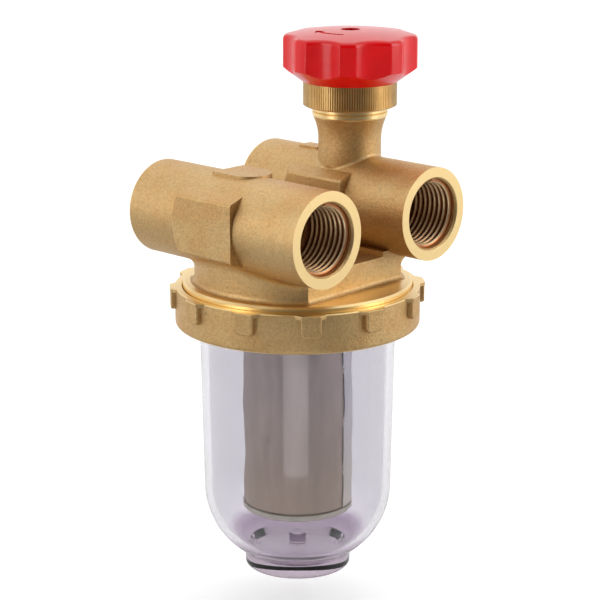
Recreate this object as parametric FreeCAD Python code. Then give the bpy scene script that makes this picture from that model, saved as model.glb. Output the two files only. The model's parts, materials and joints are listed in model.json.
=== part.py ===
"""Two-line bowl filter with a shut-off valve: brass head, clear bowl, wire-mesh insert, red handwheel.

Frame: +Z up, +X along the two pipes, origin under the bowl's foot on the bowl's axis. Millimetres.
The supply line enters the rear pipe (+Y) at -X, passes the shut-off valve, drops into the bowl, goes
inwards through the mesh and leaves the rear pipe at +X. The return line runs through the front pipe
(-Y) from +X to -X, past a spring-loaded ball.
"""
import FreeCAD, Part
import math
import os

Vec = FreeCAD.Vector
UP = Vec(0, 0, 1)
ALONG = Vec(1, 0, 0)

# ---- driving dimensions ----
PIPE_R = 14.0
PIPE_HALF_LENGTH = 33.5
PIPE_Y = 23.0
PIPE_Z = 112.0
THREAD_R = 10.478          # major radius of a G 1/2 thread
THREAD_DEPTH = 16.0
MOUTH_CHAMFER = 0.6
FLAT_HALF_WIDTH = 14.6      # wrench flats on both sides of each pipe
FLAT_HALF_HEIGHT = 8.6
LEDGE_HALF_WIDTH = 9.2      # the ledge above a flat slopes up to the pipe's surface here
LEDGE_HALF_HEIGHT = 10.4
FLAT_FROM_X = -15.0
FLAT_TO_X = 9.5
PAD_TOP_Z = 126.4           # small casting pads on top of the pipes

NECK_R = 31.0              # round waist under the pipes
NECK_FLAT_X = 23.5         # the waist is cut flat at both ends
NECK_TOP_Z = 99.3
SADDLE_TOP_Z = 100.8       # the waist rises under each pipe, outside this distance from the middle
SADDLE_FROM_Y = 12.0
SKIRT_R = 34.5             # threaded skirt that the union nut screws on
SKIRT_TOP_Z = 91.0
SKIRT_BOTTOM_Z = 82.9
SKIRT_BORE_R = 28.0
CHAMBER_TOP_Z = 89.5
SOCKET_R = 8.5
SOCKET_BOSS_R = 12.0
SOCKET_BOTTOM_Z = 84.0
SOCKET_TOP_Z = 96.5

NUT_R = 36.9
NUT_BOTTOM_Z = 77.5
NUT_TOP_Z = 89.4
NUT_BORE_R = 34.58
LUG_COUNT = 12
LUG_R = 38.3
LUG_HALF_WIDTH = 3.0
LUG_PHASE_DEG = 19.5
LUG_BOTTOM_Z = 82.8

BOWL_TOP_R = 29.7
BOWL_SHOULDER_R = 28.7
BOWL_SHOULDER_Z = 26.0
BOWL_BEND_R = 24.3
BOWL_WALL = 2.3
BOWL_FLANGE_R = 33.6
BOWL_FLANGE_BOTTOM_Z = 79.7
BOWL_FLANGE_TOP_Z = 82.6
FOOT_R = 16.3
FOOT_TOP_Z = 4.4
BOWL_FLOOR_Z = 4.6
PEG_R = 2.7
PEG_TOP_Z = 8.9

INSERT_R = 16.8
INSERT_BOTTOM_Z = 19.0
INSERT_TOP_Z = 83.7
MESH_R = 16.5
MESH_THICKNESS = 0.4

VALVE_NECK_R = 9.55
VALVE_BORE_R = 7.6
SEAT_Z = 106.5
SEAT_HOLE_R = 4.6
STEM_R = 3.5
INLET_BORE_R = 5.3
OUTLET_BORE_R = 8.0
COLLAR_R = 11.4
COLLAR_BOTTOM_Z = 137.8
CAP_BOTTOM_Z = 140.5
NECK_THREAD_R = 10.9
NECK_END_Z = 149.0
CAP_R = 14.2
CAP_TOP_Z = 152.6
KNURL_TEETH = 120

WHEEL_R = 20.25
WHEEL_BOTTOM_Z = 148.1
WHEEL_CONE_TOP_Z = 152.4
WHEEL_RIM_Z = 161.9          # where the dome would meet the side; the edge is rounded off
WHEEL_TOP_Z = 163.6
FLUTE_COUNT = 8
FLUTE_DEPTH = 1.85
FLUTE_HALF_DEG = 15.6
FLUTE_PHASE_DEG = -27.7
WHEEL_EDGE_ROUND = 1.4      # along the rim and down both edges of every rib

BALL_R = 6.0
RETURN_BORE_R = 7.5
RETURN_SEAT_X = 3.0
CLEARANCE = 0.05


# ---- helpers ----
def outline(points):
    """Closed wire in the XZ plane. A point is (r, z); an arc is ((mid r, z), (end r, z))."""
    def at(p):
        return Vec(p[0], 0, p[1])
    edges = []
    here = points[0]
    for item in points[1:] + [points[0]]:
        if isinstance(item[0], tuple):
            mid, end = item
            edges.append(Part.Arc(at(here), at(mid), at(end)).toShape())
            here = end
        elif item != here:
            edges.append(Part.makeLine(at(here), at(item)))
            here = item
    return Part.Wire(edges)


def turned(points, x=0.0, y=0.0):
    """Solid of revolution about a vertical axis at (x, y)."""
    solid = Part.Face(outline(points)).revolve(Vec(0, 0, 0), UP, 360)
    solid.translate(Vec(x, y, 0))
    return solid


def turned_along_x(points, y, z):
    """Solid of revolution about an axis along X. A point is (r, x)."""
    solid = Part.Face(outline(points)).revolve(Vec(0, 0, 0), UP, 360)
    solid.rotate(Vec(0, 0, 0), Vec(0, 1, 0), 90)
    solid.translate(Vec(0, y, z))
    return solid


def tube(r_out, r_in, z0, z1, x=0.0, y=0.0):
    return turned([(r_in, z0), (r_out, z0), (r_out, z1), (r_in, z1)], x, y)


def rod(r, z0, z1, x=0.0, y=0.0):
    return Part.makeCylinder(r, z1 - z0, Vec(x, y, z0), UP)


def rod_x(r, x0, x1, y, z):
    return Part.makeCylinder(r, x1 - x0, Vec(x0, y, z), ALONG)


def o_ring(ring_r, section_r, z, x=0.0, y=0.0):
    return Part.makeTorus(ring_r, section_r, Vec(x, y, z), UP)


def around(solid, count, x=0.0, y=0.0, phase=0.0):
    """Copies of a solid spaced evenly about a vertical axis."""
    copies = []
    for i in range(count):
        copy = solid.copy()
        copy.rotate(Vec(x, y, 0), UP, phase + 360.0 * i / count)
        copies.append(copy)
    return copies


def arc_mid(centre, radius, deg):
    """Point on a circle in the (r, z) plane, the angle measured from +r."""
    a = math.radians(deg)
    return (centre[0] + radius * math.cos(a), centre[1] + radius * math.sin(a))


def edges_where(solid, test):
    return [e for e in solid.Edges if test(e)]


# ---- brass head ----
def wrench_flats(y):
    """Block with a flat on each side of a pipe; its -X end is bevelled into the pipe."""
    w, h, lw, lh = FLAT_HALF_WIDTH, FLAT_HALF_HEIGHT, LEDGE_HALF_WIDTH, LEDGE_HALF_HEIGHT
    profile = [(w, -h), (w, h), (lw, lh), (-lw, lh), (-w, h), (-w, -h), (-lw, -lh), (lw, -lh)]
    corners = [Vec(FLAT_FROM_X, y + dy, PIPE_Z + dz) for dy, dz in profile]
    block = Part.Face(Part.makePolygon(corners + corners[:1])).extrude(ALONG * (FLAT_TO_X - FLAT_FROM_X))
    ridges = edges_where(block, lambda e: abs(e.BoundBox.XLength - (FLAT_TO_X - FLAT_FROM_X)) < 0.01
                         and abs(abs(e.CenterOfMass.y - y) - w) < 0.01)
    block = block.makeFillet(1.0, ridges)
    far_r = 18.0
    bevel = turned_along_x([(0, FLAT_FROM_X), (PIPE_R + 0.2, FLAT_FROM_X), (far_r, FLAT_FROM_X + 4.5),
                            (far_r, FLAT_TO_X), (0, FLAT_TO_X)], y, PIPE_Z)
    return block.common(bevel)


def casting_pads():
    """Flat spots left on top of the pipes: one with a round end in front, a narrow one beside the valve."""
    height = PAD_TOP_Z - PIPE_Z
    front_end = (0.5, -PIPE_Y + 2.5)
    end_r = 6.5
    front = rod(end_r, PIPE_Z, PAD_TOP_Z, *front_end)
    front = front.fuse(Part.makeBox(9.0, 2 * end_r, height, Vec(front_end[0] - 9.0, front_end[1] - end_r, PIPE_Z)))
    front = front.common(Part.makeBox(30, 2 * end_r, height, Vec(-15, -PIPE_Y - 3.9, PIPE_Z)))
    rear = Part.makeBox(7.5, 5.0, height, Vec(-19.2, PIPE_Y - 2.2, PIPE_Z))
    return [front, rear]


def valve_neck():
    """Chimney on the rear pipe: round stalk, flared collar with a groove, and the male thread on top."""
    groove_z = (COLLAR_BOTTOM_Z + CAP_BOTTOM_Z) / 2
    return turned([
        (0, PIPE_Z), (VALVE_NECK_R, PIPE_Z), (VALVE_NECK_R, 130.0),
        ((VALVE_NECK_R + 0.45, 134.2), (COLLAR_R - 0.1, COLLAR_BOTTOM_Z)),
        (COLLAR_R, COLLAR_BOTTOM_Z + 0.1), (COLLAR_R, groove_z - 0.2),
        (COLLAR_R - 0.35, groove_z), (COLLAR_R, groove_z + 0.2),
        (COLLAR_R, CAP_BOTTOM_Z - 0.15), (COLLAR_R - 0.2, CAP_BOTTOM_Z + 0.05),
        (NECK_THREAD_R, CAP_BOTTOM_Z + 0.05), (NECK_THREAD_R, NECK_END_Z - 0.6),
        (NECK_THREAD_R - 0.6, NECK_END_Z), (0, NECK_END_Z)], 0, PIPE_Y)


def waist():
    """Round block under the pipes, flat at both ends, with a trough between the two saddles."""
    block = rod(NECK_R, SKIRT_TOP_Z - 1, SADDLE_TOP_Z)
    block = block.common(Part.makeBox(2 * NECK_FLAT_X, 80, 40, Vec(-NECK_FLAT_X, -40, 80)))
    return block.cut(Part.makeBox(80, 2 * SADDLE_FROM_Y, 10, Vec(-40, -SADDLE_FROM_Y, NECK_TOP_Z)))


def rounded_casting(body):
    """Rounds the inner and outer corners that a sand casting has."""
    def under_pipe(e):
        b = e.BoundBox
        return e.Length > 50 and b.ZMin > PIPE_Z - PIPE_R - 0.1 and b.ZMax < SADDLE_TOP_Z

    def waist_corner(e):
        b = e.BoundBox
        upright = b.XLength < 0.01 and b.YLength < 0.01 and b.ZLength > 5
        return upright and abs(abs(b.XMin) - NECK_FLAT_X) < 0.01

    def waist_foot(e):
        b = e.BoundBox
        return abs(b.ZMin - SKIRT_TOP_Z) < 0.01 and b.ZLength < 0.01 and b.XMax < NECK_FLAT_X + 0.1

    def chimney_foot(e):
        b = e.BoundBox
        inside = abs(b.XMin) < VALVE_NECK_R + 0.1 and abs(b.XMax) < VALVE_NECK_R + 0.1 and b.YMin > PIPE_Y - 10
        return inside and b.XLength > 1.1 and 121.5 < b.ZMin and b.ZMax < 126.1 and e.Length > 2

    body = body.makeFillet(3.0, edges_where(body, under_pipe))
    body = body.makeFillet(1.5, edges_where(body, lambda e: waist_corner(e) or waist_foot(e)))
    return body.makeFillet(1.0, edges_where(body, chimney_foot))


def head_outside():
    body = waist()
    for y in (-PIPE_Y, PIPE_Y):
        body = body.fuse(rod_x(PIPE_R, -PIPE_HALF_LENGTH, PIPE_HALF_LENGTH, y, PIPE_Z))
        body = body.fuse(wrench_flats(y))
    for pad in casting_pads():
        body = body.fuse(pad)
    body = body.fuse(valve_neck())
    skirt = turned([(0, SKIRT_BOTTOM_Z), (SKIRT_R - 0.5, SKIRT_BOTTOM_Z), (SKIRT_R, SKIRT_BOTTOM_Z + 0.5),
                    (SKIRT_R, SKIRT_TOP_Z - 0.6), (SKIRT_R - 0.6, SKIRT_TOP_Z), (0, SKIRT_TOP_Z)])
    return rounded_casting(body.fuse(skirt).removeSplitter())


def port_cutter(side, y):
    """Plain bore at the thread's major radius, with the mouth's chamfer. side is +1 or -1."""
    mouth = PIPE_HALF_LENGTH
    cutter = turned_along_x([
        (0, mouth - THREAD_DEPTH), (THREAD_R, mouth - THREAD_DEPTH), (THREAD_R, mouth - MOUTH_CHAMFER),
        (THREAD_R + MOUTH_CHAMFER, mouth), (THREAD_R + MOUTH_CHAMFER, mouth + 1), (0, mouth + 1)], y, PIPE_Z)
    if side < 0:
        cutter.rotate(Vec(0, y, PIPE_Z), UP, 180)
    return cutter


def head_passages():
    """Everything that is bored or cored out of the casting."""
    port_end = PIPE_HALF_LENGTH - THREAD_DEPTH
    cuts = [port_cutter(side, y) for side in (-1, 1) for y in (-PIPE_Y, PIPE_Y)]
    # return line: a through bore with the ball's seat left standing in it
    seat_length = 3.0
    cuts.append(rod_x(RETURN_BORE_R, -port_end - 1, RETURN_SEAT_X, -PIPE_Y, PIPE_Z))
    cuts.append(rod_x(RETURN_BORE_R, RETURN_SEAT_X + seat_length, port_end + 1, -PIPE_Y, PIPE_Z))
    cuts.append(rod_x(SEAT_HOLE_R, 0, 10, -PIPE_Y, PIPE_Z))
    # supply line: inlet bore, valve chamber, and the drop into the bowl
    cuts.append(rod_x(INLET_BORE_R, -port_end - 1, 0, PIPE_Y, PIPE_Z))
    seat_rim = tube(SEAT_HOLE_R + 1.3, SEAT_HOLE_R, SEAT_Z - 2.0, SEAT_Z, 0, PIPE_Y)
    cuts.append(rod(VALVE_BORE_R, SEAT_Z - 1.5, NECK_END_Z + 1, 0, PIPE_Y).cut(seat_rim))
    cuts.append(rod(SEAT_HOLE_R, CHAMBER_TOP_Z - 1, SEAT_Z, 0, PIPE_Y))
    # bowl chamber, insert socket, and the cored way from the socket to the outlet
    cuts.append(tube(SKIRT_BORE_R, SOCKET_BOSS_R, SKIRT_BOTTOM_Z - 1, CHAMBER_TOP_Z))
    cuts.append(rod(SOCKET_BOSS_R + 1, SKIRT_BOTTOM_Z - 1, SOCKET_BOTTOM_Z))
    cuts.append(rod(SOCKET_R, SKIRT_BOTTOM_Z - 1, SOCKET_TOP_Z))
    riser = Vec(16.0, 19.0, 93.5)
    way = Vec(riser.x, riser.y, 0)
    cuts.append(Part.makeCylinder(2.8, way.Length, Vec(0, 0, riser.z), way))
    cuts.append(rod(3.0, riser.z - 2.9, PIPE_Z - 5, riser.x, riser.y))
    cuts.append(rod_x(OUTLET_BORE_R, 13.0, port_end + 1, PIPE_Y, PIPE_Z))
    # groove for the bowl's O-ring
    cuts.append(tube(32.4, 29.4, SKIRT_BOTTOM_Z - 1, SKIRT_BOTTOM_Z + 2.2))
    return cuts


def filter_head():
    body = head_outside()
    for cut in head_passages():
        body = body.cut(cut)
    return body


# ---- bowl and union nut ----
def nut_lug():
    """Upright rib for a hook spanner, rounded below and along its outer edges."""
    half, corner = LUG_HALF_WIDTH, 1.6
    inside = NUT_R - 1.0
    diagonal = corner * (1 - math.sqrt(0.5))

    def at(y, z):
        return Vec(inside, y, z)
    low, high = LUG_BOTTOM_Z, NUT_TOP_Z
    front = Part.Wire([
        Part.makeLine(at(half, high), at(-half, high)), Part.makeLine(at(-half, high), at(-half, low + corner)),
        Part.Arc(at(-half, low + corner), at(-half + diagonal, low + diagonal), at(-half + corner, low)).toShape(),
        Part.makeLine(at(-half + corner, low), at(half - corner, low)),
        Part.Arc(at(half - corner, low), at(half - diagonal, low + diagonal), at(half, low + corner)).toShape(),
        Part.makeLine(at(half, low + corner), at(half, high))])
    rib = Part.Face(front).extrude(ALONG * (LUG_R - inside))
    outer = edges_where(rib, lambda e: abs(e.BoundBox.XMin - LUG_R) < 0.01 and e.BoundBox.ZMin < high - 0.01)
    return rib.makeFillet(0.5, outer)


def nut_tab():
    """Low tab with slanting sides that caps a lug at the nut's top edge."""
    root_half, tip_half, height = 5.2, 2.7, 1.1
    inside = NUT_R - 1.0
    tab = Part.Face(Part.makePolygon([
        Vec(inside, -root_half, 0), Vec(LUG_R + 0.1, -tip_half, 0), Vec(LUG_R + 0.1, tip_half, 0),
        Vec(inside, root_half, 0), Vec(inside, -root_half, 0)])).extrude(UP * height)
    tab.translate(UP * (NUT_TOP_Z - height))
    return tab


def union_nut():
    lip_r = BOWL_TOP_R + 0.5
    ring = turned([
        (lip_r, NUT_BOTTOM_Z), (NUT_R - 1.2, NUT_BOTTOM_Z),
        ((NUT_R - 0.35, NUT_BOTTOM_Z + 0.35), (NUT_R, NUT_BOTTOM_Z + 1.2)),
        (NUT_R, NUT_TOP_Z - 0.3), (NUT_R - 0.3, NUT_TOP_Z), (NUT_BORE_R + 0.4, NUT_TOP_Z),
        (NUT_BORE_R, NUT_TOP_Z - 0.4), (NUT_BORE_R, BOWL_FLANGE_BOTTOM_Z - CLEARANCE),
        (lip_r, BOWL_FLANGE_BOTTOM_Z - CLEARANCE)])
    for copy in around(nut_lug().fuse(nut_tab()), LUG_COUNT, phase=LUG_PHASE_DEG):
        ring = ring.fuse(copy)
    return ring.removeSplitter()


def bowl():
    """Clear cup: flange, drafted wall, rounded shoulder, a short solid foot, and a centre peg."""
    outer = (BOWL_SHOULDER_R - BOWL_BEND_R, BOWL_SHOULDER_Z)
    inner_bend = BOWL_BEND_R - BOWL_WALL
    bend_end = 52.0
    slope_start = arc_mid(outer, BOWL_BEND_R, -bend_end)
    inside_end = arc_mid(outer, inner_bend, -bend_end)
    floor_r = 14.0
    inner_top_r = BOWL_TOP_R - BOWL_WALL
    return turned([
        (0, 0), (FOOT_R - 0.9, 0), ((FOOT_R - 0.3, 0.25), (FOOT_R - 0.1, 0.9)), (FOOT_R, FOOT_TOP_Z),
        slope_start, (arc_mid(outer, BOWL_BEND_R, -bend_end / 2), (BOWL_SHOULDER_R, BOWL_SHOULDER_Z)),
        (BOWL_TOP_R, BOWL_FLANGE_BOTTOM_Z), (BOWL_FLANGE_R, BOWL_FLANGE_BOTTOM_Z),
        (BOWL_FLANGE_R, BOWL_FLANGE_TOP_Z), (inner_top_r, BOWL_FLANGE_TOP_Z),
        (BOWL_SHOULDER_R - BOWL_WALL, BOWL_SHOULDER_Z),
        (arc_mid(outer, inner_bend, -bend_end / 2), inside_end),
        (floor_r, BOWL_FLOOR_Z + 1.8), (floor_r - 2.0, BOWL_FLOOR_Z), (PEG_R, BOWL_FLOOR_Z),
        (PEG_R, PEG_TOP_Z - 0.3), (PEG_R - 0.3, PEG_TOP_Z), (0, PEG_TOP_Z)])


def bowl_o_ring():
    section_r = (SKIRT_BOTTOM_Z + 2.2 - BOWL_FLANGE_TOP_Z) / 2
    return o_ring(30.9, section_r - 0.01, BOWL_FLANGE_TOP_Z + section_r)


# ---- filter insert ----
SPIGOT_R = SOCKET_R - 0.08
SPIGOT_TOP_Z = 90.3
SPIGOT_BORE_R = 5.6
CAGE_R = MESH_R - MESH_THICKNESS
CAGE_RIB_COUNT = 6


def insert_top_cap():
    plate_z = INSERT_TOP_Z - 2.6
    groove_z = 87.4
    return turned([
        (SPIGOT_BORE_R, plate_z), (INSERT_R - 0.4, plate_z), (INSERT_R, plate_z + 0.4), (INSERT_R, INSERT_TOP_Z - 0.5),
        (INSERT_R - 0.5, INSERT_TOP_Z), (SPIGOT_R, INSERT_TOP_Z), (SPIGOT_R, groove_z - 0.9),
        (SPIGOT_R - 1.52, groove_z - 0.9), (SPIGOT_R - 1.52, groove_z + 0.9), (SPIGOT_R, groove_z + 0.9),
        (SPIGOT_R, SPIGOT_TOP_Z - 0.4), (SPIGOT_R - 0.4, SPIGOT_TOP_Z), (SPIGOT_BORE_R, SPIGOT_TOP_Z)])


def insert_o_ring():
    return o_ring(SOCKET_R - 0.02 - 0.76, 0.76, 87.4)


def insert_bottom_cap():
    """Shallow dish that closes the mesh tube from below."""
    return turned([
        (0, INSERT_BOTTOM_Z + 0.6), (INSERT_R - 3.0, INSERT_BOTTOM_Z + 0.6), (INSERT_R - 2.4, INSERT_BOTTOM_Z),
        (INSERT_R - 0.4, INSERT_BOTTOM_Z), (INSERT_R, INSERT_BOTTOM_Z + 0.4), (INSERT_R, INSERT_BOTTOM_Z + 1.9),
        (CAGE_R - 1.4, INSERT_BOTTOM_Z + 1.9), (CAGE_R - 1.4, INSERT_BOTTOM_Z + 2.6), (0, INSERT_BOTTOM_Z + 2.6)])


def insert_cage():
    """Plastic cage that holds the mesh round: ribs joined by hoops."""
    bottom, top = INSERT_BOTTOM_Z + 2.0, INSERT_TOP_Z - 2.7
    hoop_height = 1.6
    levels = [bottom, bottom + (top - bottom) / 3, bottom + 2 * (top - bottom) / 3, top - hoop_height]
    cage = tube(CAGE_R - CLEARANCE, CAGE_R - 1.3, levels[0], levels[0] + hoop_height)
    for z in levels[1:]:
        cage = cage.fuse(tube(CAGE_R - CLEARANCE, CAGE_R - 1.3, z, z + hoop_height))
    rib = tube(CAGE_R - CLEARANCE, CAGE_R - 1.3, bottom, top)
    rib = rib.common(Part.makeBox(30, 2.0, 80, Vec(0, -1.0, bottom)))
    for copy in around(rib, CAGE_RIB_COUNT):
        cage = cage.fuse(copy)
    return cage.removeSplitter()


def insert_mesh():
    return tube(MESH_R, MESH_R - MESH_THICKNESS, INSERT_BOTTOM_Z + 1.95, INSERT_TOP_Z - 2.65)


def mesh_seam():
    """Narrow strip that is welded over the mesh's joint, at the +X +Y side of the tube."""
    width = 2.6
    strip = tube(MESH_R + 0.25, MESH_R + 0.02, INSERT_BOTTOM_Z + 1.95, INSERT_TOP_Z - 2.65)
    window = Part.makeBox(30, width, 90, Vec(0, -width / 2, 0))
    window.rotate(Vec(0, 0, 0), UP, 30.0)
    return strip.common(window)


# ---- shut-off valve ----
HOLDER_TOP_Z = 114.5
WASHER_TOP_Z = SEAT_Z + 2.2
SNAP_RING_Z = 113.0
BUSH_BOTTOM_Z = 133.0
STEM_O_RING_LEVELS = (137.0, 142.0)


def valve_washer():
    return tube(6.4, 1.6, SEAT_Z + 0.01, WASHER_TOP_Z, 0, PIPE_Y)


def valve_washer_screw():
    return turned([
        (0, SEAT_Z - 1.4), (1.9, SEAT_Z - 1.4), (2.6, SEAT_Z - 0.7), (2.6, SEAT_Z), (1.5, SEAT_Z),
        (1.5, WASHER_TOP_Z + 2.6), (0, WASHER_TOP_Z + 2.6)], 0, PIPE_Y)


def valve_disc_holder():
    """Brass disc: washer seat below, and above it a socket in which the stem's end can turn."""
    holder = turned([
        (1.55, WASHER_TOP_Z), (6.6, WASHER_TOP_Z), (6.9, WASHER_TOP_Z + 0.3), (6.9, WASHER_TOP_Z + 1.8),
        (5.2, HOLDER_TOP_Z), (3.1, HOLDER_TOP_Z), (3.1, WASHER_TOP_Z + 2.8), (1.55, WASHER_TOP_Z + 2.8)],
        0, PIPE_Y)
    return holder.cut(o_ring(3.05, 0.42, SNAP_RING_Z, 0, PIPE_Y))


def disc_snap_ring():
    return o_ring(3.05, 0.36, SNAP_RING_Z, 0, PIPE_Y)


def stem():
    top_z = 156.0
    body = turned([
        (0, WASHER_TOP_Z + 2.9), (2.6, WASHER_TOP_Z + 2.9), (3.0, WASHER_TOP_Z + 3.3), (3.0, HOLDER_TOP_Z + 0.4),
        (STEM_R, HOLDER_TOP_Z + 0.9), (STEM_R, NECK_END_Z + 0.7), (3.0, NECK_END_Z + 0.7),
        (3.0, top_z), (1.3, top_z), (1.3, top_z - 8.0), (0, top_z - 8.5)], 0, PIPE_Y)
    return body.cut(o_ring(3.05, 0.42, SNAP_RING_Z, 0, PIPE_Y))


def bonnet_bush():
    """Guide bush in the neck's mouth, with a flange on top, a seal groove outside and two inside."""
    bush = turned([
        (STEM_R + CLEARANCE, BUSH_BOTTOM_Z), (VALVE_BORE_R - 0.5, BUSH_BOTTOM_Z),
        (VALVE_BORE_R - CLEARANCE, BUSH_BOTTOM_Z + 0.5), (VALVE_BORE_R - CLEARANCE, NECK_END_Z - 0.4),
        (STEM_R + CLEARANCE, NECK_END_Z - 0.4)], 0, PIPE_Y)
    for z in STEM_O_RING_LEVELS:
        bush = bush.cut(tube(5.0, STEM_R, z - 0.8, z + 0.8, 0, PIPE_Y))
    return bush.cut(tube(VALVE_BORE_R, VALVE_BORE_R - 1.3, 145.0, 146.6, 0, PIPE_Y))


def stem_o_rings():
    section_r = 0.7
    rings = [o_ring(STEM_R + 0.02 + section_r, section_r, z, 0, PIPE_Y) for z in STEM_O_RING_LEVELS]
    return Part.makeCompound(rings)


def bonnet_o_ring():
    section_r = 0.62
    return o_ring(VALVE_BORE_R - 0.02 - section_r, section_r, 145.8, 0, PIPE_Y)


def knurled_cap():
    """Brass cap that screws down over the neck; the knurl outside grips the handwheel."""
    cap = turned([
        (NECK_THREAD_R + 0.08, CAP_BOTTOM_Z + 0.6), (COLLAR_R + 0.15, CAP_BOTTOM_Z + 0.3),
        (COLLAR_R + 0.3, CAP_BOTTOM_Z), (CAP_R - 0.9, CAP_BOTTOM_Z), (CAP_R, CAP_BOTTOM_Z + 0.5),
        (CAP_R, WHEEL_BOTTOM_Z), (CAP_R - 0.8, WHEEL_BOTTOM_Z), (CAP_R - 0.8, CAP_TOP_Z),
        (3.05, CAP_TOP_Z), (3.05, NECK_END_Z + 0.8), (NECK_THREAD_R + 0.08, NECK_END_Z + 0.8)], 0, PIPE_Y)
    depth, half = 0.42, 0.5 * math.pi * CAP_R / KNURL_TEETH
    notch = Part.Face(Part.makePolygon([
        Vec(CAP_R - depth, PIPE_Y, CAP_BOTTOM_Z - 1), Vec(CAP_R + 0.3, PIPE_Y - half * 1.7, CAP_BOTTOM_Z - 1),
        Vec(CAP_R + 0.3, PIPE_Y + half * 1.7, CAP_BOTTOM_Z - 1), Vec(CAP_R - depth, PIPE_Y, CAP_BOTTOM_Z - 1),
    ])).extrude(UP * (WHEEL_BOTTOM_Z - CAP_BOTTOM_Z + 1))
    return cap.cut(Part.makeCompound(around(notch, KNURL_TEETH, 0, PIPE_Y)))


# ---- handwheel ----
SCREW_HOLE_R = 2.9
SCREW_SEAT_Z = 158.4


def turn_arrow():
    """Cutter for a plain curved arrow, engraved in the handwheel's face."""
    depth_z, r_in, r_out, sweep = WHEEL_TOP_Z - 1.1, 9.2, 10.3, 55.0
    band = tube(r_out, r_in, depth_z, WHEEL_TOP_Z + 1)
    reach = 30.0
    wedge = Part.Face(Part.makePolygon([
        Vec(0, 0, 0), Vec(reach, 0, 0),
        Vec(reach * math.cos(math.radians(sweep)), reach * math.sin(math.radians(sweep)), 0),
        Vec(0, 0, 0)])).extrude(UP * 200)
    middle = (r_in + r_out) / 2
    tip = Part.Face(Part.makePolygon([
        Vec(middle - 1.9, 0, depth_z), Vec(middle + 1.9, 0, depth_z), Vec(middle, -3.2, depth_z),
        Vec(middle - 1.9, 0, depth_z)])).extrude(UP * 4)
    arrow = band.common(wedge).fuse(tip)
    arrow.rotate(Vec(0, 0, 0), UP, -115.0)
    arrow.translate(Vec(0, PIPE_Y, 0))
    return arrow


def flute_cutter():
    """Upright cylinder that cuts one flute in the handwheel's side."""
    half_angle = math.radians(FLUTE_HALF_DEG)
    half_chord = WHEEL_R * math.sin(half_angle)
    sagitta = WHEEL_R * math.cos(half_angle) - (WHEEL_R - FLUTE_DEPTH)
    cutter_r = (half_chord ** 2 + sagitta ** 2) / (2 * sagitta)
    return rod(cutter_r, WHEEL_BOTTOM_Z - 1, WHEEL_TOP_Z + 1, WHEEL_R - FLUTE_DEPTH + cutter_r, PIPE_Y)


def handwheel():
    """Fluted wheel with a cone below and a low dome on top, pressed down over the knurled cap."""
    grip_r = CAP_R - 0.8 + CLEARANCE
    dome_mid = (WHEEL_R / 2, WHEEL_TOP_Z - (WHEEL_TOP_Z - WHEEL_RIM_Z) * 0.25)
    blank = turned([
        (0, CAP_TOP_Z + CLEARANCE), (grip_r, CAP_TOP_Z + CLEARANCE), (grip_r, WHEEL_BOTTOM_Z),
        (CAP_R + 0.2, WHEEL_BOTTOM_Z), (WHEEL_R, WHEEL_CONE_TOP_Z), (WHEEL_R, WHEEL_RIM_Z),
        (dome_mid, (0, WHEEL_TOP_Z))], 0, PIPE_Y)
    for flute in around(flute_cutter(), FLUTE_COUNT, 0, PIPE_Y, FLUTE_PHASE_DEG):
        blank = blank.cut(flute)

    def rib_or_rim(e):
        b = e.BoundBox
        upright = b.XLength < 0.01 and b.YLength < 0.01
        outer = math.hypot(e.CenterOfMass.x, e.CenterOfMass.y - PIPE_Y) > CAP_R
        return outer and (b.ZLength > 5 if upright else b.ZMin > WHEEL_CONE_TOP_Z + 5)

    wheel = blank.makeFillet(WHEEL_EDGE_ROUND, edges_where(blank, rib_or_rim))
    wheel = wheel.cut(rod(3.05, CAP_TOP_Z, 156.1, 0, PIPE_Y)).cut(rod(1.7, CAP_TOP_Z, SCREW_SEAT_Z, 0, PIPE_Y))
    wheel = wheel.cut(rod(SCREW_HOLE_R, SCREW_SEAT_Z, WHEEL_TOP_Z + 1, 0, PIPE_Y))
    return wheel.cut(turn_arrow())


def handwheel_screw():
    head_top = SCREW_SEAT_Z + 0.65 + 2.0
    screw = turned([
        (0, 149.0), (1.2, 149.0), (1.25, 149.3), (1.25, SCREW_SEAT_Z + 0.65), (2.6, SCREW_SEAT_Z + 0.65),
        (2.6, head_top - 0.5), (2.1, head_top), (0, head_top)], 0, PIPE_Y)
    slots = [Part.makeBox(3.2, 0.7, 2.0, Vec(-1.6, PIPE_Y - 0.35, head_top - 1.1)),
             Part.makeBox(0.7, 3.2, 2.0, Vec(-0.35, PIPE_Y - 1.6, head_top - 1.1))]
    for slot in slots:
        screw = screw.cut(slot)
    return screw


def handwheel_washer():
    return tube(2.7, 1.4, SCREW_SEAT_Z + 0.02, SCREW_SEAT_Z + 0.62, 0, PIPE_Y)


# ---- return-line check valve ----
BALL_X = RETURN_SEAT_X - math.sqrt(BALL_R ** 2 - SEAT_HOLE_R ** 2) - 0.01
RETAINER_X = -16.5
RETAINER_LENGTH = 3.0
SPRING_WIRE_R = 0.4
SPRING_COIL_R = 3.2
SPRING_TURNS = 4.0


def check_ball():
    return Part.makeSphere(BALL_R, Vec(BALL_X, -PIPE_Y, PIPE_Z))


def check_spring():
    """Coil between the ball and the retainer."""
    start_x = RETAINER_X + RETAINER_LENGTH + SPRING_WIRE_R + 0.05
    end_x = BALL_X - math.sqrt((BALL_R + SPRING_WIRE_R) ** 2 - SPRING_COIL_R ** 2) - 0.1
    length = end_x - start_x
    helix = Part.makeHelix(length / SPRING_TURNS, length, SPRING_COIL_R)
    wire = Part.Wire(Part.makeCircle(SPRING_WIRE_R, Vec(SPRING_COIL_R, 0, 0), Vec(0, 1, 0)))
    coil = Part.Wire(helix.Edges).makePipeShell([wire], True, True)
    coil.rotate(Vec(0, 0, 0), Vec(0, 1, 0), 90)
    coil.translate(Vec(start_x, -PIPE_Y, PIPE_Z))
    return coil


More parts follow.
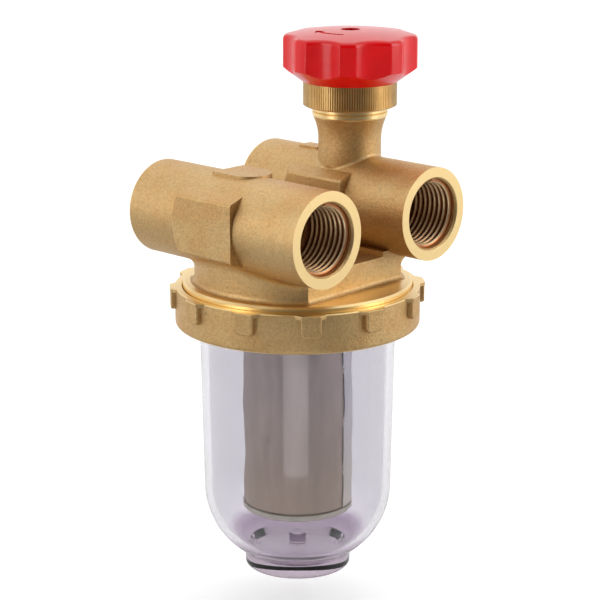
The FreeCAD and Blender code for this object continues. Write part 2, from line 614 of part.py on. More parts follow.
def check_retainer():
    """Spider ring that holds the spring; the oil passes its three windows."""
    y, z = -PIPE_Y, PIPE_Z
    disc = rod_x(RETURN_BORE_R - CLEARANCE, RETAINER_X, RETAINER_X + RETAINER_LENGTH, y, z)
    ring_hole = rod_x(6.2, RETAINER_X - 1, RETAINER_X + RETAINER_LENGTH + 1, y, z)
    hub = rod_x(4.0, RETAINER_X, RETAINER_X + RETAINER_LENGTH, y, z).cut(
        rod_x(1.5, RETAINER_X - 1, RETAINER_X + RETAINER_LENGTH + 1, y, z))
    spider = disc.cut(ring_hole).fuse(hub)
    for i in range(3):
        arm = Part.makeBox(RETAINER_LENGTH, 1.8, 4.2, Vec(RETAINER_X, y - 0.9, z + 2.6))
        arm.rotate(Vec(0, y, z), ALONG, 120 * i)
        spider = spider.fuse(arm)
    return spider.removeSplitter()


NODES = {
    "filter_head": filter_head, "union_nut": union_nut, "bowl": bowl, "bowl_o_ring": bowl_o_ring,
    "insert_top_cap": insert_top_cap, "insert_o_ring": insert_o_ring, "insert_bottom_cap": insert_bottom_cap,
    "insert_cage": insert_cage, "insert_mesh": insert_mesh, "mesh_seam": mesh_seam,
    "valve_washer": valve_washer, "valve_washer_screw": valve_washer_screw,
    "valve_disc_holder": valve_disc_holder, "disc_snap_ring": disc_snap_ring, "stem": stem,
    "bonnet_bush": bonnet_bush, "stem_o_rings": stem_o_rings, "bonnet_o_ring": bonnet_o_ring,
    "knurled_cap": knurled_cap, "handwheel": handwheel, "handwheel_screw": handwheel_screw,
    "handwheel_washer": handwheel_washer, "check_ball": check_ball, "check_spring": check_spring,
    "check_retainer": check_retainer,
}


def main():
    os.makedirs("parts", exist_ok=True)
    for name, make in NODES.items():
        shape = make()
        print(f"{name:20s} solids {len(shape.Solids)} valid {shape.isValid()} volume {shape.Volume:.1f} mm3")
        shape.exportStep(f"parts/{name}.step")


main()
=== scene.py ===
"""Looks of a two-line bowl filter: cast brass head, turned rings, clear bowl, mesh insert, red handwheel."""

import json
import math

import bmesh
import bpy
from mathutils import Matrix, Vector


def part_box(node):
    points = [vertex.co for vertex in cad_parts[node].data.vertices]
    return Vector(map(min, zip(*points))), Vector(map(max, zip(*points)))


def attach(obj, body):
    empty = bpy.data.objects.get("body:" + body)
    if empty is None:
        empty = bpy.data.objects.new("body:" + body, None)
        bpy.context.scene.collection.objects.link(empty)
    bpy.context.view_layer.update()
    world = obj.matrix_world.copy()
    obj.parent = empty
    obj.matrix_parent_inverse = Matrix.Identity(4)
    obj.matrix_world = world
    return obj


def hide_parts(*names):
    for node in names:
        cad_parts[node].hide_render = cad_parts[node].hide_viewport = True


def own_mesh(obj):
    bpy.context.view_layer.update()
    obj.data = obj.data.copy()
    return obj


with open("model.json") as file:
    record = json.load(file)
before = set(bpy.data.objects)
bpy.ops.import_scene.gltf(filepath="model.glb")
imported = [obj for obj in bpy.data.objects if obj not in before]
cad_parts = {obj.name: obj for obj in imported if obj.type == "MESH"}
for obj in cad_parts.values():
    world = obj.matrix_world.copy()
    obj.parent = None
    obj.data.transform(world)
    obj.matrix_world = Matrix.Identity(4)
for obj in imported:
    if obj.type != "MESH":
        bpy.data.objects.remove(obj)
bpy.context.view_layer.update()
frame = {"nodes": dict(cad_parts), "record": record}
MM = 0.001


# ---------- shader building blocks ----------
def new_finish(name):
    """Empty material with its principled shader; returns the material, its nodes and a linker."""
    finish = bpy.data.materials.new(name)
    finish.use_nodes = True
    return finish, finish.node_tree.nodes, finish.node_tree.links


def shader_of(nodes):
    return nodes["Principled BSDF"]


def place_on(nodes, links, scale=(1.0, 1.0, 1.0)):
    """Object coordinates in millimetres, stretched by scale."""
    place = nodes.new("ShaderNodeTexCoord")
    mapping = nodes.new("ShaderNodeMapping")
    mapping.inputs["Scale"].default_value = [s / MM for s in scale]
    links.new(place.outputs["Object"], mapping.inputs["Vector"])
    return mapping.outputs["Vector"]


def grain(nodes, links, where, size, detail=3.0, rough=0.55):
    """Noise whose lumps are about size millimetres across."""
    noise = nodes.new("ShaderNodeTexNoise")
    noise.inputs["Scale"].default_value = 1.0 / size
    noise.inputs["Detail"].default_value = detail
    noise.inputs["Roughness"].default_value = rough
    links.new(where, noise.inputs["Vector"])
    return noise.outputs["Fac"]


def ramp(nodes, links, value, stops):
    """Colour ramp; stops are (position, (r, g, b))."""
    band = nodes.new("ShaderNodeValToRGB")
    while len(band.color_ramp.elements) < len(stops):
        band.color_ramp.elements.new(0.5)
    for element, (position, colour) in zip(band.color_ramp.elements, stops):
        element.position = position
        element.color = (*colour, 1.0)
    links.new(value, band.inputs["Fac"])
    return band.outputs["Color"]


def spread(nodes, links, value, low, high, from_low=0.0, from_high=1.0):
    """Maps a value onto a range."""
    scaled = nodes.new("ShaderNodeMapRange")
    scaled.inputs["From Min"].default_value = from_low
    scaled.inputs["From Max"].default_value = from_high
    scaled.inputs["To Min"].default_value = low
    scaled.inputs["To Max"].default_value = high
    links.new(value, scaled.inputs["Value"])
    return scaled.outputs["Result"]


def blend_colours(nodes, links, share, first, second, mode="MIX"):
    """Mix of two colours; share, first and second may be sockets or constants."""
    mixer = nodes.new("ShaderNodeMix")
    mixer.data_type = "RGBA"
    mixer.blend_type = mode
    for socket, value in ((mixer.inputs[0], share), (mixer.inputs[6], first), (mixer.inputs[7], second)):
        if hasattr(value, "is_linked"):
            links.new(value, socket)
        else:
            socket.default_value = value if isinstance(value, float) else (*value, 1.0)
    return mixer.outputs[2]


def sums(nodes, links, operation, first, second=0.0):
    """Arithmetic on sockets or numbers; an operation on one value leaves out the second."""
    node = nodes.new("ShaderNodeMath")
    node.operation = operation
    for socket, value in ((node.inputs[0], first), (node.inputs[1], second)):
        if hasattr(value, "is_linked"):
            links.new(value, socket)
        else:
            socket.default_value = value
    return node.outputs[0]


def relief(nodes, links, height, strength, depth_mm, under=None):
    """Bump from a height; under is a bump to stack on."""
    bump = nodes.new("ShaderNodeBump")
    bump.inputs["Strength"].default_value = strength
    bump.inputs["Distance"].default_value = depth_mm * MM
    links.new(height, bump.inputs["Height"])
    if under is not None:
        links.new(under, bump.inputs["Normal"])
    return bump.outputs["Normal"]


def place_axes(nodes, links):
    """Object coordinates in metres as three separate values."""
    place = nodes.new("ShaderNodeTexCoord")
    split = nodes.new("ShaderNodeSeparateXYZ")
    links.new(place.outputs["Object"], split.inputs["Vector"])
    return split.outputs


def within(nodes, links, value, band):
    """1 where a length lies within a band, which is given in millimetres."""
    low, high = band
    above = sums(nodes, links, "GREATER_THAN", value, low * MM)
    below = sums(nodes, links, "LESS_THAN", value, high * MM)
    return sums(nodes, links, "MULTIPLY", above, below)


# ---------- finishes ----------
PIPE_Y = 23.0
PIPE_Z = 112.0
PIPE_END_X = 33.5
MOUTH_CHAMFER = 1.7
THREAD_MAJOR_R = 10.478
THREAD_MINOR_R = 9.32
PORT_THREAD_X = (12.0, 31.6)         # tinted stretch of each port's bore
SKIRT_PITCH = 2.0                    # the union nut's thread
SKIRT_THREAD_Z = (83.4, 89.2)
SKIRT_THREAD_MIN_R = 34.2
MACHINED_MOUTH_X = 33.35
MACHINED_SKIRT_Z = (82.0, 91.02)
MACHINED_COLLAR_Z = (137.5, 150.0)
NUT_TOP_FACE_Z = 89.12
NUT_BOTTOM_EDGE_Z = 78.0
WHEEL_PARTING_Z = (155.45, 155.60)
BOWL_TINT_TOP_Z = 26.0
CLOTH_HUE_Z = (26.0, 60.0)           # the cloth is warmer below and cooler above
RAW_BRASS = (0.65, 0.442, 0.205)
BRIGHT_BRASS = (0.93, 0.69, 0.33)
BORE_BRASS = (0.72, 0.43, 0.20)
CLOTH_TONE = (0.60, 0.50, 0.435)
LAP_TONE = (0.92, 0.90, 0.90)


def away_from(nodes, links, first, second):
    """Distance in metres from an axis, given the two offsets across it."""
    squares = [sums(nodes, links, "MULTIPLY", offset, offset) for offset in (first, second)]
    return sums(nodes, links, "SQRT", sums(nodes, links, "ADD", *squares))


def blasted_tone(nodes, links, where):
    """Colour and height of shot-blasted brass: fine sandy grain, faint clouds and a few dark specks."""
    fine = grain(nodes, links, where, 0.45, 3.0, 0.7)
    sandy = grain(nodes, links, where, 0.7, 3.0, 0.7)
    cloudy = grain(nodes, links, where, 11.0, 3.0)
    specks = grain(nodes, links, where, 2.2, 1.0)
    light, dark = tuple(1.14 * c for c in RAW_BRASS), tuple(0.80 * c for c in RAW_BRASS)
    tone = ramp(nodes, links, sandy, [(0.30, dark), (0.52, RAW_BRASS), (0.75, light)])
    warm = ramp(nodes, links, cloudy, [(0.32, (0.96, 0.86, 0.76)), (0.62, (1.0, 1.0, 1.0))])
    pits = ramp(nodes, links, specks, [(0.19, (0.50, 0.40, 0.32)), (0.25, (1.0, 1.0, 1.0))])
    tone = blend_colours(nodes, links, 1.0, tone, warm, "MULTIPLY")
    tone = blend_colours(nodes, links, 0.45, tone, pits, "MULTIPLY")
    return tone, sums(nodes, links, "ADD", fine, sums(nodes, links, "MULTIPLY", sandy, 0.8))


def part_bright(name, bright_mask, threaded_mask=None, thread_height=None):
    """Blasted brass that is machined bright where the mask is 1, and darker in the threads."""
    finish, nodes, links = new_finish(name)
    shader = shader_of(nodes)
    where = place_on(nodes, links)
    tone, height = blasted_tone(nodes, links, where)
    bright = bright_mask(nodes, links)
    colour = blend_colours(nodes, links, bright, tone, BRIGHT_BRASS)
    if threaded_mask:
        colour = blend_colours(nodes, links, threaded_mask(nodes, links), colour, BORE_BRASS)
    links.new(colour, shader.inputs["Base Color"])
    patchy = grain(nodes, links, where, 1.1, 3.0)
    blasted_rough = spread(nodes, links, patchy, 0.40, 0.54, 0.3, 0.7)
    rough = blend_colours(nodes, links, bright, blasted_rough, (0.33, 0.33, 0.33))
    links.new(rough, shader.inputs["Roughness"])
    sand = sums(nodes, links, "MULTIPLY", height, sums(nodes, links, "SUBTRACT", 1.0, bright))
    tooling = grain(nodes, links, place_on(nodes, links, (0.08, 0.08, 3.0)), 0.5, 2.0)
    rings = sums(nodes, links, "MULTIPLY", tooling, sums(nodes, links, "MULTIPLY", bright, 0.12))
    skin = relief(nodes, links, sums(nodes, links, "ADD", sand, rings), 0.75, 0.16)
    if thread_height:
        skin = relief(nodes, links, thread_height(nodes, links), 1.0, 0.45, skin)
    links.new(skin, shader.inputs["Normal"])
    shader.inputs["Metallic"].default_value = 1.0
    return finish


def pipe_offsets(nodes, links):
    """A point's distance from the nearer pipe's axis, its distance from the middle, and its height."""
    x, y, z = place_axes(nodes, links)[:3]
    across = sums(nodes, links, "SUBTRACT", sums(nodes, links, "ABSOLUTE", y), PIPE_Y * MM)
    off_axis = away_from(nodes, links, across, sums(nodes, links, "SUBTRACT", z, PIPE_Z * MM))
    return off_axis, sums(nodes, links, "ABSOLUTE", x), z


def cast_brass():
    """Shot-blasted casting; the pipe mouths, the skirt and the collar are machined bright."""
    def bright(nodes, links):
        _, along, z = pipe_offsets(nodes, links)
        mouths = sums(nodes, links, "GREATER_THAN", along, MACHINED_MOUTH_X * MM)
        skirt = within(nodes, links, z, MACHINED_SKIRT_Z)
        collar = within(nodes, links, z, MACHINED_COLLAR_Z)
        return sums(nodes, links, "MAXIMUM", mouths, sums(nodes, links, "MAXIMUM", skirt, collar))

    def threaded(nodes, links):
        off_axis, along, _ = pipe_offsets(nodes, links)
        margin = 0.15
        inside = sums(nodes, links, "LESS_THAN", off_axis, (THREAD_MAJOR_R + margin) * MM)
        return sums(nodes, links, "MULTIPLY", inside, within(nodes, links, along, PORT_THREAD_X))

    def skirt_thread(nodes, links):
        x, y, z = place_axes(nodes, links)[:3]
        rising = sums(nodes, links, "MULTIPLY", z, 2 * math.pi / (SKIRT_PITCH * MM))
        turned_by = sums(nodes, links, "ARCTAN2", y, x)
        wave = sums(nodes, links, "SINE", sums(nodes, links, "SUBTRACT", rising, turned_by))
        outside = sums(nodes, links, "GREATER_THAN", away_from(nodes, links, x, y), SKIRT_THREAD_MIN_R * MM)
        cut = sums(nodes, links, "MULTIPLY", outside, within(nodes, links, z, SKIRT_THREAD_Z))
        return sums(nodes, links, "MULTIPLY", wave, cut)

    return part_bright("cast_brass", bright, threaded, skirt_thread)


def forged_brass():
    """Union nut: blasted sides, its top face and bottom edge machined."""
    def bright(nodes, links):
        z = place_axes(nodes, links)[2]
        top = sums(nodes, links, "GREATER_THAN", z, NUT_TOP_FACE_Z * MM)
        return sums(nodes, links, "MAXIMUM", top, sums(nodes, links, "LESS_THAN", z, NUT_BOTTOM_EDGE_Z * MM))

    return part_bright("forged_brass", bright)


def turned_brass():
    """Bar-turned brass, a little duller than the machined faces of the castings."""
    finish, nodes, links = new_finish("turned_brass")
    shader = shader_of(nodes)
    where = place_on(nodes, links)
    tooling = grain(nodes, links, place_on(nodes, links, (0.05, 0.05, 4.0)), 0.6, 2.0)
    cloudy = grain(nodes, links, where, 4.0, 3.0)
    colour = ramp(nodes, links, cloudy, [(0.3, (0.70, 0.455, 0.185)), (0.7, (0.84, 0.570, 0.245))])
    links.new(colour, shader.inputs["Base Color"])
    links.new(spread(nodes, links, cloudy, 0.30, 0.42), shader.inputs["Roughness"])
    links.new(relief(nodes, links, tooling, 0.25, 0.03), shader.inputs["Normal"])
    shader.inputs["Metallic"].default_value = 1.0
    return finish


def thread_brass():
    """Cut thread with painted light: a painted highlight on the crests over painted shade down the flanks."""
    finish, nodes, links = new_finish("thread_brass")
    shader = shader_of(nodes)
    off_axis = pipe_offsets(nodes, links)[0]
    flank_r = 9.75
    # painted light by radius: painted highlight at the crest, painted shade deeper in the flanks
    depth = spread(nodes, links, off_axis, 0.0, 1.0, THREAD_MINOR_R * MM, flank_r * MM)
    colour = ramp(nodes, links, depth, [(0.0, (1.0, 0.88, 0.60)), (0.40, (0.90, 0.64, 0.34)),
                                        (1.0, (0.46, 0.18, 0.07))])
    scratches = grain(nodes, links, place_on(nodes, links, (4.0, 1.0, 1.0)), 1.2, 3.0)
    colour = blend_colours(nodes, links, 0.35, colour, ramp(
        nodes, links, scratches, [(0.3, (0.6, 0.5, 0.4)), (0.6, (1.0, 1.0, 1.0))]), "MULTIPLY")
    links.new(colour, shader.inputs["Base Color"])
    links.new(spread(nodes, links, scratches, 0.28, 0.40), shader.inputs["Roughness"])
    shader.inputs["Metallic"].default_value = 0.75
    return finish


def clear_plastic():
    """Clear moulded bowl with a lilac tint that deepens in the thick foot."""
    finish, nodes, links = new_finish("clear_plastic")
    shader = shader_of(nodes)
    where = place_on(nodes, links)
    ripple = grain(nodes, links, where, 14.0, 1.0)
    links.new(relief(nodes, links, ripple, 0.15, 0.25), shader.inputs["Normal"])
    haze = grain(nodes, links, where, 6.0, 3.0)
    links.new(spread(nodes, links, haze, 0.01, 0.04), shader.inputs["Roughness"])
    height = spread(nodes, links, place_axes(nodes, links)[2], 0.0, 1.0, 0.0, BOWL_TINT_TOP_Z * MM)
    tint = ramp(nodes, links, height, [(0.02, (0.40, 0.34, 0.39)), (0.20, (0.47, 0.39, 0.47)),
                                       (0.33, (0.36, 0.26, 0.38)), (0.42, (0.80, 0.77, 0.83)),
                                       (0.60, (0.76, 0.74, 0.785)), (0.85, (0.69, 0.676, 0.71))])
    links.new(tint, shader.inputs["Base Color"])
    shader.inputs["Transmission Weight"].default_value = 1.0
    shader.inputs["IOR"].default_value = 1.45
    return finish


def red_plastic():
    """Glossy red moulding with a very fine orange-peel and a faint parting line."""
    finish, nodes, links = new_finish("red_plastic")
    shader = shader_of(nodes)
    where = place_on(nodes, links)
    peel = grain(nodes, links, where, 1.4, 2.0)
    cloudy = grain(nodes, links, where, 7.0, 2.0)
    colour = ramp(nodes, links, cloudy, [(0.3, (0.64, 0.000, 0.002)), (0.7, (0.72, 0.000, 0.003))])
    links.new(colour, shader.inputs["Base Color"])
    links.new(spread(nodes, links, peel, 0.16, 0.24), shader.inputs["Roughness"])
    z = place_axes(nodes, links)[2]
    parting = within(nodes, links, z, WHEEL_PARTING_Z)
    skin = relief(nodes, links, peel, 0.10, 0.04)
    links.new(relief(nodes, links, parting, 0.6, 0.05, skin), shader.inputs["Normal"])
    shader.inputs["Specular IOR Level"].default_value = 0.4
    shader.inputs["Coat Weight"].default_value = 0.05
    shader.inputs["Coat Roughness"].default_value = 0.10
    return finish


def ivory_plastic():
    finish, nodes, links = new_finish("ivory_plastic")
    shader = shader_of(nodes)
    where = place_on(nodes, links)
    cloudy = grain(nodes, links, where, 3.0, 3.0)
    colour = ramp(nodes, links, cloudy, [(0.3, (0.70, 0.66, 0.52)), (0.7, (0.80, 0.76, 0.63))])
    links.new(colour, shader.inputs["Base Color"])
    links.new(relief(nodes, links, grain(nodes, links, where, 0.4), 0.15, 0.03), shader.inputs["Normal"])
    shader.inputs["Roughness"].default_value = 0.45
    return finish


def wire_cloth(name="wire_cloth", tone=CLOTH_TONE, wire_pitch=0.55):
    """Plain weave of fine steel wire wrapped round the vertical axis."""
    finish, nodes, links = new_finish(name)
    shader = shader_of(nodes)
    x, y, z = place_axes(nodes, links)[:3]
    angle = sums(nodes, links, "ARCTAN2", y, x)
    turns = round(2 * math.pi * SLEEVE_R / wire_pitch)
    warp = sums(nodes, links, "SINE", sums(nodes, links, "MULTIPLY", angle, float(turns)))
    weft = sums(nodes, links, "SINE", sums(nodes, links, "MULTIPLY", z, 2 * math.pi / (wire_pitch * MM)))
    weave = spread(nodes, links, sums(nodes, links, "MULTIPLY", warp, weft), 0.0, 1.0, -1.0, 1.0)
    cloudy = grain(nodes, links, place_on(nodes, links, (1.0, 1.0, 0.2)), 3.0, 2.0)
    shade = ramp(nodes, links, cloudy, [(0.28, tuple(0.86 * c for c in tone)), (0.70, tone)])
    wires = ramp(nodes, links, weave, [(0.0, (0.72, 0.70, 0.68)), (0.6, (1.0, 1.0, 1.0))])
    level = spread(nodes, links, z, 0.0, 1.0, CLOTH_HUE_Z[0] * MM, CLOTH_HUE_Z[1] * MM)
    hue = ramp(nodes, links, level, [(0.0, (1.0, 0.97, 0.86)), (1.0, (0.97, 0.98, 1.06))])
    woven = blend_colours(nodes, links, 0.8, shade, wires, "MULTIPLY")
    links.new(blend_colours(nodes, links, 1.0, woven, hue, "MULTIPLY"), shader.inputs["Base Color"])
    links.new(spread(nodes, links, weave, 0.55, 0.38), shader.inputs["Roughness"])
    links.new(relief(nodes, links, weave, 0.25, 0.08), shader.inputs["Normal"])
    shader.inputs["Metallic"].default_value = 0.7
    return finish


def steel(name, tone=(0.60, 0.60, 0.60), rough=0.3):
    finish, nodes, links = new_finish(name)
    shader = shader_of(nodes)
    where = place_on(nodes, links)
    cloudy = grain(nodes, links, where, 1.5, 3.0)
    links.new(ramp(nodes, links, cloudy, [(0.3, tuple(0.85 * c for c in tone)), (0.7, tone)]),
              shader.inputs["Base Color"])
    links.new(spread(nodes, links, cloudy, rough, rough + 0.12), shader.inputs["Roughness"])
    shader.inputs["Metallic"].default_value = 1.0
    return finish


def seal_rubber():
    finish, nodes, links = new_finish("seal_rubber")
    shader = shader_of(nodes)
    cloudy = grain(nodes, links, place_on(nodes, links), 0.8, 3.0)
    links.new(ramp(nodes, links, cloudy, [(0.3, (0.012, 0.012, 0.013)), (0.7, (0.026, 0.026, 0.027))]),
              shader.inputs["Base Color"])
    links.new(spread(nodes, links, cloudy, 0.38, 0.55), shader.inputs["Roughness"])
    return finish


# ---------- wire-cloth sleeve ----------
SLEEVE_R = 16.4            # mean radius of the cloth
SLEEVE_THICKNESS = 0.3
LAP_THICKNESS = 0.2
LAP_OUT = 0.25             # how far the lap's middle stands off the sleeve's mean radius
END_FADE = 3.0             # the waves die out over this length towards both caps
SEAM_FROM_DEG = 9.0        # where the outer end of the cloth stops, and where the lap ends
SEAM_TO_DEG = 37.0
WELD_LEVELS = (33.5, 49.0, 65.0)
CREASE_DEG = -76.5         # a fold pressed in by hand: from its dimple down to the bottom cap
CREASE_TOP_Z = 44.6


def sleeve_bulge(angle, z):
    """How far the hand-rolled cloth stands in or out of a true cylinder, in millimetres."""
    waves = 0.16 * math.sin(3 * angle + z / 7.0) + 0.13 * math.sin(z / 4.1 + 2 * angle)
    aside = math.degrees(angle) - CREASE_DEG
    below = 1.0 / (1.0 + math.exp((z - CREASE_TOP_Z) / 0.6))
    crease = 0.30 * below * math.exp(-(aside / 2.4) ** 2)
    dimple = 0.40 * math.exp(-((z - CREASE_TOP_Z) / 0.9) ** 2 - (aside / 4.0) ** 2)
    return waves + 0.09 * math.sin(11 * angle + 0.7) + 0.07 * math.sin(z / 1.9 - 5 * angle) - crease - dimple


def sheet_round(radius, from_deg, to_deg, low, high, across, levels):
    """Curved sheet about the vertical axis: a spun line, raised in levels, as a mesh of one layer."""
    work = bmesh.new()
    start = Matrix.Rotation(math.radians(from_deg), 4, "Z") @ Vector((radius * MM, 0.0, low * MM))
    work.verts.new(start)
    full = to_deg - from_deg >= 360.0
    bmesh.ops.spin(work, geom=work.verts[:], cent=(0, 0, 0), axis=(0, 0, 1), steps=across,
                   angle=math.radians(to_deg - from_deg), use_merge=full)
    rise = Vector((0.0, 0.0, (high - low) * MM / levels))
    rim = work.edges[:]
    for level in range(levels):
        grown = bmesh.ops.extrude_edge_only(work, edges=rim)["geom"]
        bmesh.ops.translate(work, verts=[g for g in grown if isinstance(g, bmesh.types.BMVert)], vec=rise)
        rim = [g for g in grown if isinstance(g, bmesh.types.BMEdge)]
    bmesh.ops.recalc_face_normals(work, faces=work.faces[:])
    return work


def wave_share(z, low, high):
    """1 along the sleeve, falling to 0 at its two ends."""
    return min(1.0, (z - low) / END_FADE, (high - z) / END_FADE)


def set_radius(vert, angle, radius):
    """Moves a vertex to a radius in millimetres at the same angle and height."""
    vert.co.x, vert.co.y = radius * MM * math.cos(angle), radius * MM * math.sin(angle)


def facing_out(work):
    """Turns a one-layer sheet's faces away from the vertical axis."""
    work.faces.ensure_lookup_table()
    face = work.faces[0]
    middle = face.calc_center_median()
    if face.normal.dot(Vector((middle.x, middle.y, 0.0))) < 0:
        bmesh.ops.reverse_faces(work, faces=work.faces[:])


def finished(work, name, body, slot, finish, *stands_for):
    """Closes a bmesh into an object that rides on a body and takes the finish it is given; slot is not used.
    """
    mesh = bpy.data.meshes.new(name)
    work.normal_update()
    work.to_mesh(mesh)
    work.free()
    mesh.materials.append(finish)
    mesh.polygons.foreach_set("use_smooth", [True] * len(mesh.polygons))
    piece = bpy.data.objects.new(name, mesh)
    bpy.context.scene.collection.objects.link(piece)
    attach(piece, body)
    if stands_for:
        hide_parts(*stands_for)
    return piece


def wire_sleeve(finish):
    """Wavy tube of woven wire between the insert's two caps."""
    low, high = (corner[2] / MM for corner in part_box("insert_mesh"))
    work = sheet_round(SLEEVE_R, 0.0, 360.0, low, high, 216, 72)
    for vert in work.verts:
        angle, z = math.atan2(vert.co.y, vert.co.x), vert.co.z / MM
        set_radius(vert, angle, SLEEVE_R + wave_share(z, low, high) * sleeve_bulge(angle, z))
    facing_out(work)
    bmesh.ops.solidify(work, geom=work.faces[:], thickness=SLEEVE_THICKNESS * MM)
    return finished(work, "wire_sleeve", "insert", "steel_mesh", finish, "insert_mesh")


def seam_lap(finish):
    """Outer end of the cloth, lapped over the sleeve and pressed down at the spot welds."""
    low, high = (corner[2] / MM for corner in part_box("mesh_seam"))
    lap_r = SLEEVE_R + LAP_OUT
    work = sheet_round(lap_r, SEAM_FROM_DEG, SEAM_TO_DEG, low + 0.3, high - 0.3, 28, 80)
    for vert in work.verts:
        angle, z = math.atan2(vert.co.y, vert.co.x), vert.co.z / MM
        from_edge = math.degrees(angle) - SEAM_FROM_DEG
        lift = 0.12 * math.exp(-from_edge / 2.5)
        dents = sum(math.exp(-((z - weld) / 1.3) ** 2 - (from_edge / 4.0) ** 2) for weld in WELD_LEVELS)
        out = lap_r + wave_share(z, low, high) * sleeve_bulge(angle, z) + lift - 0.5 * dents
        set_radius(vert, angle, out)
    facing_out(work)
    bmesh.ops.solidify(work, geom=work.faces[:], thickness=LAP_THICKNESS * MM)
    return finished(work, "seam_lap", "insert", "steel_strip", finish, "mesh_seam")


# ---------- threads in the ports ----------
THREAD_PITCH = 1.814
THREAD_TURNS = 7.5
STEPS_PER_TURN = 64
HALF_ROOT = 0.78           # half widths of the ridge along the bore
HALF_CREST = 0.20
ROOT_EMBED = 0.04          # the ridge's foot lies this far inside the metal


def port_thread(name, side, y, finish):
    """Right-hand helical ridge that stands in one port's plain bore."""
    mouth = PIPE_END_X - MOUTH_CHAMFER
    root = THREAD_MAJOR_R + ROOT_EMBED
    work = bmesh.new()
    rim = [(root, -HALF_ROOT), (THREAD_MINOR_R, -HALF_CREST), (THREAD_MINOR_R, HALF_CREST), (root, HALF_ROOT)]
    corners = [work.verts.new(Vector((side * (mouth + along), y, PIPE_Z + r)) * MM) for r, along in rim]
    ridge = work.faces.new(corners)
    steps = int(THREAD_TURNS * STEPS_PER_TURN)
    inwards = Vector((-side * THREAD_PITCH / STEPS_PER_TURN * MM, 0.0, 0.0))
    bmesh.ops.spin(work, geom=[ridge] + ridge.edges[:] + ridge.verts[:], cent=(0.0, y * MM, PIPE_Z * MM),
                   axis=(-side, 0, 0), dvec=inwards, steps=steps, angle=2 * math.pi * THREAD_TURNS)
    bmesh.ops.recalc_face_normals(work, faces=work.faces[:])
    return finished(work, name, "head", "cast_brass", finish)


def port_threads():
    finish = thread_brass()
    for name, side, y in (("supply_inlet_thread", -1, PIPE_Y), ("supply_outlet_thread", 1, PIPE_Y),
                          ("return_inlet_thread", 1, -PIPE_Y), ("return_outlet_thread", -1, -PIPE_Y)):
        port_thread(name, side, y, finish)


# ---------- spring behind the check ball ----------
SPRING_WIRE_R = 0.4
SPRING_COIL_R = 3.2
SPRING_TURNS = 4
COIL_STEPS_PER_TURN = 48


def check_coil(finish):
    """Coil spring behind the check ball, built at one length; the real spring shortens as the ball leaves its
    seat.
    """
    low_x, high_x = (corner[0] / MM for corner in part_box("check_spring"))
    length = high_x - low_x
    start = Vector((low_x + SPRING_WIRE_R, -PIPE_Y, PIPE_Z + SPRING_COIL_R)) * MM
    steps = SPRING_TURNS * COIL_STEPS_PER_TURN
    onwards = Vector(((length - 2 * SPRING_WIRE_R) / steps * MM, 0.0, 0.0))
    work = bmesh.new()
    bmesh.ops.create_circle(work, cap_ends=True, segments=12, radius=SPRING_WIRE_R * MM,
                            matrix=Matrix.Translation(start) @ Matrix.Rotation(math.pi / 2, 4, "X"))
    bmesh.ops.spin(work, geom=work.faces[:] + work.edges[:] + work.verts[:], axis=(1, 0, 0), dvec=onwards,
                   cent=(0.0, -PIPE_Y * MM, PIPE_Z * MM), steps=steps, angle=2 * math.pi * SPRING_TURNS)
    bmesh.ops.recalc_face_normals(work, faces=work.faces[:])
    coil = finished(work, "check_coil", "head", "spring_steel", finish, "check_spring")
    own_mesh(coil)


FINISHES = {
    "cast_brass": cast_brass(),
    "forged_brass": forged_brass(),
    "turned_brass": turned_brass(),
    "clear_plastic": clear_plastic(),
    "ivory_plastic": ivory_plastic(),
    "steel_mesh": wire_cloth(),
    "steel_strip": wire_cloth("lapped_wire_cloth", LAP_TONE),
    "seal_rubber": seal_rubber(),
    "spring_steel": steel("spring_steel"),
    "screw_steel": steel("screw_steel", (0.55, 0.55, 0.53), 0.35),
    "ball_steel": steel("ball_steel", (0.70, 0.70, 0.71), 0.12),
    "red_plastic": red_plastic(),
}


def dress_cad_nodes():
    """Every CAD node takes the finish of its slot in the record."""
    slots = {row["node"]: row["material_slot"] for row in frame["record"]["subparts"]}
    for name, node in frame["nodes"].items():
        node.data.materials.clear()
        node.data.materials.append(FINISHES[slots[name]])


# ---------- studio ----------
NEAR_SIDE = (0.689, -0.725, 0.0)     # level direction towards the camera
FLOOR_Z = -0.012                     # low enough for the bowl to drop without touching it
CARD_GAP = 0.0004
CAMERA_PLACE = (405.09, -425.28, 243.77)
CAMERA_RIGHT = Vector((0.72495, 0.68880, 0.0))
CAMERA_UP = Vector((-0.18080, 0.19029, 0.96494))
CAMERA_BACK = Vector((0.66465, -0.69954, 0.26248))
LENS_LENGTH = 120.96
SENSOR_WIDTH = 36.0
PART_MIDDLE = Vector((0.0, 0.0, 0.09))


def surround():
    """Room light that is dim on the camera's side and bright at the sides, behind and above."""
    world = bpy.data.worlds.new("studio")
    bpy.context.scene.world = world
    world.use_nodes = True
    nodes, links = world.node_tree.nodes, world.node_tree.links
    place = nodes.new("ShaderNodeTexCoord")
    facing = nodes.new("ShaderNodeVectorMath")
    facing.operation = "DOT_PRODUCT"
    links.new(place.outputs["Generated"], facing.inputs[0])
    facing.inputs[1].default_value = NEAR_SIDE
    strength = spread(nodes, links, facing.outputs["Value"], 1.02, 0.04, -0.1, 0.90)
    links.new(strength, nodes["Background"].inputs["Strength"])
    nodes["Background"].inputs["Color"].default_value = (1.0, 1.0, 1.0, 1.0)


def level_sheet(name, height, finish):
    """Large level sheet under the part."""
    sheet = bmesh.new()
    bmesh.ops.create_grid(sheet, x_segments=1, y_segments=1, size=3.0)
    bmesh.ops.translate(sheet, verts=sheet.verts[:], vec=(0.0, 0.0, height))
    mesh = bpy.data.meshes.new(name)
    sheet.to_mesh(mesh)
    sheet.free()
    mesh.materials.append(finish)
    piece = bpy.data.objects.new(name, mesh)
    bpy.context.scene.collection.objects.link(piece)
    return piece


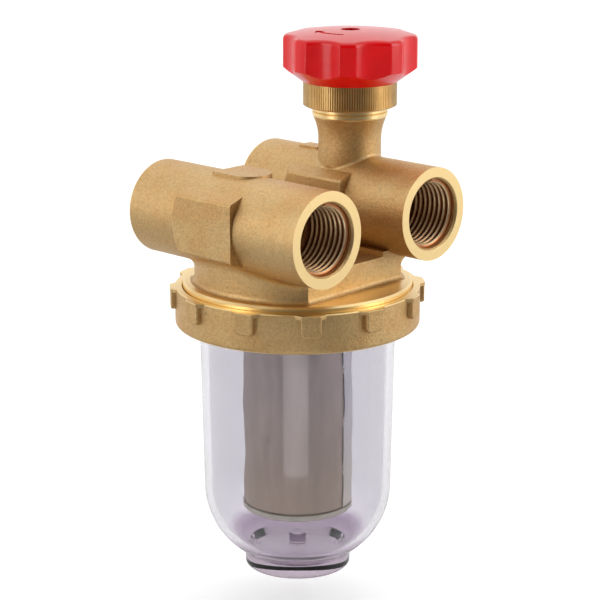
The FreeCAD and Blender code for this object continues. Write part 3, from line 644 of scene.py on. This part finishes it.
def pale_paper():
    paper, nodes, links = new_finish("pale_paper")
    shader = shader_of(nodes)
    shade = ramp(nodes, links, grain(nodes, links, place_on(nodes, links), 60.0),
                 [(0.3, (0.78, 0.78, 0.78)), (0.7, (0.81, 0.81, 0.81))])
    links.new(shade, shader.inputs["Base Color"])
    shader.inputs["Roughness"].default_value = 0.9
    shader.inputs["Emission Color"].default_value = (1.0, 1.0, 1.0, 1.0)
    shader.inputs["Emission Strength"].default_value = 0.36
    return paper


def mirror_card():
    """Painted reflection of what polished metal sees below it: a glowing card, dark in front, bright behind
    and at the sides.
    """
    card, nodes, links = new_finish("mirror_card")
    shader = shader_of(nodes)
    place = nodes.new("ShaderNodeTexCoord")
    ahead = nodes.new("ShaderNodeVectorMath")
    ahead.operation = "DOT_PRODUCT"
    links.new(place.outputs["Object"], ahead.inputs[0])
    ahead.inputs[1].default_value = NEAR_SIDE
    glow = spread(nodes, links, ahead.outputs["Value"], 0.80, 0.16, -0.15, 0.22)
    links.new(glow, shader.inputs["Emission Strength"])
    shader.inputs["Emission Color"].default_value = (1.0, 1.0, 1.0, 1.0)
    shader.inputs["Base Color"].default_value = (0.02, 0.02, 0.02, 1.0)
    return card


def floor_sheets():
    """The floor itself, and a card just above it that only reflections show."""
    level_sheet("floor", FLOOR_Z, pale_paper())
    card = level_sheet("mirror_card", FLOOR_Z + CARD_GAP, mirror_card())
    card.visible_camera = False
    card.visible_diffuse = False
    card.visible_transmission = False
    card.visible_shadow = False
    card.visible_volume_scatter = False


def soft_box(name, sideways, forwards, height, size, radiance, aim=PART_MIDDLE):
    """Lamp the camera doesn't see, placed in metres to the right, towards the camera and up."""
    light = bpy.data.lights.new(name, "AREA")
    light.shape = "RECTANGLE"
    light.size, light.size_y = size
    light.energy = radiance * math.pi * size[0] * size[1]
    lamp = bpy.data.objects.new(name, light)
    lamp.location = CAMERA_RIGHT * sideways + Vector(NEAR_SIDE) * forwards + Vector((0.0, 0.0, height))
    lamp.rotation_euler = (aim - lamp.location).to_track_quat("-Z", "Y").to_euler()
    lamp.visible_camera = False
    bpy.context.scene.collection.objects.link(lamp)


def main_camera():
    """Long lens, a little above the part and in front of one corner."""
    lens = bpy.data.cameras.new("camera")
    lens.sensor_width = SENSOR_WIDTH
    lens.lens = LENS_LENGTH
    camera = bpy.data.objects.new("camera", lens)
    bpy.context.scene.collection.objects.link(camera)
    turn = Matrix((CAMERA_RIGHT, CAMERA_UP, CAMERA_BACK)).transposed().to_4x4()
    camera.matrix_world = Matrix.Translation(Vector(CAMERA_PLACE) * MM) @ turn
    bpy.context.scene.camera = camera
    bpy.context.scene.view_settings.view_transform = "Standard"


def studio():
    """Pale floor, soft surround, camera and soft boxes."""
    surround()
    floor_sheets()
    main_camera()
    soft_box("left_box", -0.75, 0.45, 0.35, (0.35, 0.8), 2.9)
    soft_box("right_box", 0.80, 0.15, 0.40, (0.35, 0.8), 2.9)
    soft_box("top_box", 0.0, -0.1, 0.95, (0.7, 0.6), 0.95)
    soft_box("bowl_card", -0.0033, 0.100, 0.034, (0.046, 0.052), 1.3, Vector((0.0, 0.0, 0.034)))


dress_cad_nodes()
wire_sleeve(FINISHES["steel_mesh"])
seam_lap(FINISHES["steel_strip"])
port_threads()
check_coil(FINISHES["spring_steel"])
studio()
